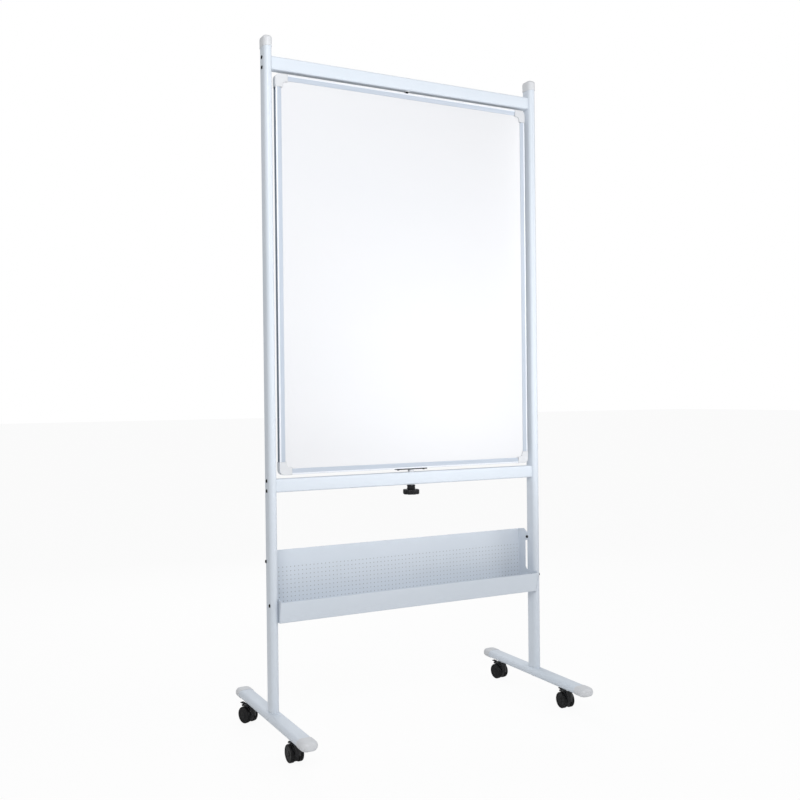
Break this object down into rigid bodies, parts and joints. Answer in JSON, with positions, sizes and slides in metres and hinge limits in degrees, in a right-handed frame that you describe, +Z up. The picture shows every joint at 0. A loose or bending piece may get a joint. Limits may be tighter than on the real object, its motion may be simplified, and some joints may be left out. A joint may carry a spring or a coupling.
{
  "type": "rolling whiteboard",
  "caption": "Double-sided whiteboard that revolves on a vertical axis in a two-post stand with a clamp knob, perforated tray and braked twin-wheel casters.",
  "frame": {"origin": "on the floor, under the middle of the stand", "axes": "+Z up, +X to the right of someone facing the board, front of the board to -Y"},
  "size_m": [1.0129, 0.59, 2.108],
  "materials": {
    "powder_coat": "white satin powder coat",
    "board_steel": "gloss white enamel",
    "frame_aluminium": "fine satin anodised",
    "white_plastic": "smooth moulded plastic",
    "black_plastic": "moulded nylon",
    "wheel_black": "moulded nylon wheel",
    "black_steel": "black oxide",
    "zinc_steel": "zinc plated",
    "brass": "plain turned",
    "core_board": "light fibreboard"
  },
  "bodies": {
    "stand": {"left_upright": "powder_coat", "right_upright": "powder_coat", "left_foot": "powder_coat", "right_foot": "powder_coat", "upright_caps": "white_plastic", "foot_caps": "white_plastic", "upright_base_plugs": "zinc_steel", "foot_bolts": "zinc_steel", "top_rail": "powder_coat", "lower_rail": "powder_coat", "rail_end_plugs": "black_plastic", "rail_screws": "black_steel", "tray_panel": "powder_coat", "left_tray_bracket": "powder_coat", "right_tray_bracket": "powder_coat", "tray_screws": "black_steel", "tray_nuts": "black_steel", "pivot_bushes": "white_plastic", "caster_stems": "zinc_steel", "caster_sockets": "zinc_steel"},
    "board": {"board_core": "core_board", "front_sheet": "board_steel", "rear_sheet": "board_steel", "frame_left": "frame_aluminium", "frame_right": "frame_aluminium", "frame_top": "frame_aluminium", "frame_bottom": "frame_aluminium", "frame_corners": "white_plastic", "top_pivot_pin": "black_steel", "clamp_plate": "black_steel", "plate_screws": "black_steel", "spacer_washer": "white_plastic", "pivot_stud": "zinc_steel"},
    "sleeve": {"clamp_sleeve": "black_plastic"},
    "knob": {"clamp_knob": "black_plastic", "knob_insert": "brass"},
    "left_front_caster": {"left_front_hood": "black_plastic", "left_front_axle": "zinc_steel"},
    "left_front_wheel_a_body": {"left_front_wheel_a": "wheel_black"},
    "left_front_wheel_b_body": {"left_front_wheel_b": "wheel_black"},
    "left_front_brake": {"left_front_brake_lever": "black_plastic"},
    "left_rear_caster": {"left_rear_hood": "black_plastic", "left_rear_axle": "zinc_steel"},
    "left_rear_wheel_a_body": {"left_rear_wheel_a": "wheel_black"},
    "left_rear_wheel_b_body": {"left_rear_wheel_b": "wheel_black"},
    "left_rear_brake": {"left_rear_brake_lever": "black_plastic"},
    "right_front_caster": {"right_front_hood": "black_plastic", "right_front_axle": "zinc_steel"},
    "right_front_wheel_a_body": {"right_front_wheel_a": "wheel_black"},
    "right_front_wheel_b_body": {"right_front_wheel_b": "wheel_black"},
    "right_front_brake": {"right_front_brake_lever": "black_plastic"},
    "right_rear_caster": {"right_rear_hood": "black_plastic", "right_rear_axle": "zinc_steel"},
    "right_rear_wheel_a_body": {"right_rear_wheel_a": "wheel_black"},
    "right_rear_wheel_b_body": {"right_rear_wheel_b": "wheel_black"},
    "right_rear_brake": {"right_rear_brake_lever": "black_plastic"}
  },
  "joints": [
    {"name": "board_turn", "type": "hinge", "parent": "stand", "child": "board", "pos_m": [0, 0, 0.79], "axis": [0, 0, 1], "continuous": true},
    {"name": "sleeve_drop", "type": "slide", "parent": "board", "child": "sleeve", "axis": [0, 0, -1], "range_m": [0, 0.003]},
    {"name": "knob_turn", "type": "hinge", "parent": "sleeve", "child": "knob", "pos_m": [0, 0, 0.724], "axis": [0, 0, -1], "range_deg": [0, 720]},
    {"name": "left_front_swivel", "type": "hinge", "parent": "stand", "child": "left_front_caster", "pos_m": [-0.476, -0.192, 0.06], "axis": [0, 0, 1], "continuous": true},
    {"name": "left_front_wheel_a_spin", "type": "hinge", "parent": "left_front_caster", "child": "left_front_wheel_a_body", "pos_m": [-0.47677, -0.17001, 0.026], "axis": [0.9994, 0.0349, 0], "continuous": true},
    {"name": "left_front_wheel_b_spin", "type": "hinge", "parent": "left_front_caster", "child": "left_front_wheel_b_body", "pos_m": [-0.47677, -0.17001, 0.026], "axis": [0.9994, 0.0349, 0], "continuous": true},
    {"name": "left_front_brake_press", "type": "hinge", "parent": "left_front_caster", "child": "left_front_brake", "pos_m": [-0.47726, -0.15602, 0.0533], "axis": [-0.9994, -0.0349, 0], "range_deg": [0, 20]},
    {"name": "left_rear_swivel", "type": "hinge", "parent": "stand", "child": "left_rear_caster", "pos_m": [-0.476, 0.192, 0.06], "axis": [0, 0, 1], "continuous": true},
    {"name": "left_rear_wheel_a_spin", "type": "hinge", "parent": "left_rear_caster", "child": "left_rear_wheel_a_body", "pos_m": [-0.48352, 0.21267, 0.026], "axis": [0.9397, 0.342, 0], "continuous": true},
    {"name": "left_rear_wheel_b_spin", "type": "hinge", "parent": "left_rear_caster", "child": "left_rear_wheel_b_body", "pos_m": [-0.48352, 0.21267, 0.026], "axis": [0.9397, 0.342, 0], "continuous": true},
    {"name": "left_rear_brake_press", "type": "hinge", "parent": "left_rear_caster", "child": "left_rear_brake", "pos_m": [-0.48831, 0.22583, 0.0533], "axis": [-0.9397, -0.342, 0], "range_deg": [0, 20]},
    {"name": "right_front_swivel", "type": "hinge", "parent": "stand", "child": "right_front_caster", "pos_m": [0.476, -0.192, 0.06], "axis": [0, 0, 1], "continuous": true},
    {"name": "right_front_wheel_a_spin", "type": "hinge", "parent": "right_front_caster", "child": "right_front_wheel_a_body", "pos_m": [0.47677, -0.17001, 0.026], "axis": [0.9994, -0.0349, 0], "continuous": true},
    {"name": "right_front_wheel_b_spin", "type": "hinge", "parent": "right_front_caster", "child": "right_front_wheel_b_body", "pos_m": [0.47677, -0.17001, 0.026], "axis": [0.9994, -0.0349, 0], "continuous": true},
    {"name": "right_front_brake_press", "type": "hinge", "parent": "right_front_caster", "child": "right_front_brake", "pos_m": [0.47726, -0.15602, 0.0533], "axis": [-0.9994, 0.0349, 0], "range_deg": [0, 20]},
    {"name": "right_rear_swivel", "type": "hinge", "parent": "stand", "child": "right_rear_caster", "pos_m": [0.476, 0.192, 0.06], "axis": [0, 0, 1], "continuous": true},
    {"name": "right_rear_wheel_a_spin", "type": "hinge", "parent": "right_rear_caster", "child": "right_rear_wheel_a_body", "pos_m": [0.47294, 0.21379, 0.026], "axis": [0.9903, 0.1392, 0], "continuous": true},
    {"name": "right_rear_wheel_b_spin", "type": "hinge", "parent": "right_rear_caster", "child": "right_rear_wheel_b_body", "pos_m": [0.47294, 0.21379, 0.026], "axis": [0.9903, 0.1392, 0], "continuous": true},
    {"name": "right_rear_brake_press", "type": "hinge", "parent": "right_rear_caster", "child": "right_rear_brake", "pos_m": [0.47099, 0.22765, 0.0533], "axis": [-0.9903, -0.1392, 0], "range_deg": [0, 20]}
  ],
  "couplings": [
    {"joint": "sleeve_drop", "follows": "knob_turn", "m_per_rad": 0.00023873}
  ]
}
